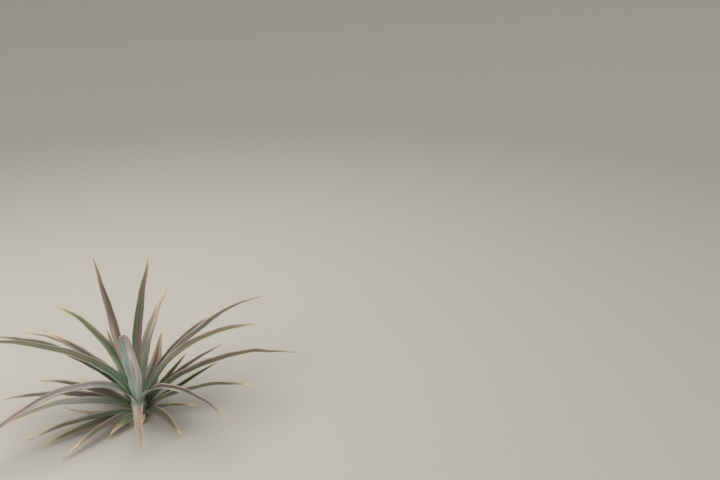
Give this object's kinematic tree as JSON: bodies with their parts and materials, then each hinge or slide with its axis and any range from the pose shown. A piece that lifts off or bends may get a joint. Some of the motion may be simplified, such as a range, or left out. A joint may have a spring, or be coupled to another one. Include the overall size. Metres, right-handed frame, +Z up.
{
  "type": "pineapple plant",
  "caption": "Young pineapple plant without fruit: a rosette of long, arching sword leaves that clasp a short thick stem, cut flat where it is fixed at the ground.",
  "frame": {"origin": "centre of the flat cut under the stem, at ground level", "axes": "+Z up along the stem, +X to the right and -Y towards the viewer of the picture"},
  "size_m": [1.2863, 0.7048, 0.6706],
  "materials": {
    "stem": "matt, fibrous stem with leaf scars",
    "leaf": "satin, grey-green leaf with a mauve flush and a pale underside"
  },
  "bodies": {
    "root": {"stem": "stem", "leaf_01": "leaf", "leaf_02": "leaf", "leaf_03": "leaf", "leaf_04": "leaf", "leaf_05": "leaf", "leaf_06": "leaf", "leaf_07": "leaf", "leaf_08": "leaf", "leaf_09": "leaf", "leaf_10": "leaf", "leaf_11": "leaf", "leaf_12": "leaf", "leaf_13": "leaf", "leaf_14": "leaf", "leaf_15": "leaf", "leaf_16": "leaf", "leaf_17": "leaf", "leaf_18": "leaf", "leaf_19": "leaf", "leaf_20": "leaf", "leaf_21": "leaf", "leaf_22": "leaf", "leaf_23": "leaf", "leaf_24": "leaf", "leaf_25": "leaf", "leaf_26": "leaf", "leaf_27": "leaf", "leaf_28_foot": "leaf", "leaf_28_blade": "leaf", "leaf_29": "leaf", "leaf_30_foot": "leaf", "leaf_30_blade": "leaf", "leaf_31": "leaf", "leaf_32": "leaf", "leaf_33_foot": "leaf", "leaf_33_blade": "leaf", "leaf_34": "leaf", "leaf_35_foot": "leaf", "leaf_35_blade": "leaf", "leaf_36": "leaf", "leaf_37": "leaf", "leaf_38": "leaf", "leaf_39": "leaf", "leaf_40": "leaf", "leaf_41": "leaf", "leaf_42": "leaf", "leaf_43": "leaf"}
  },
  "joints": []
}
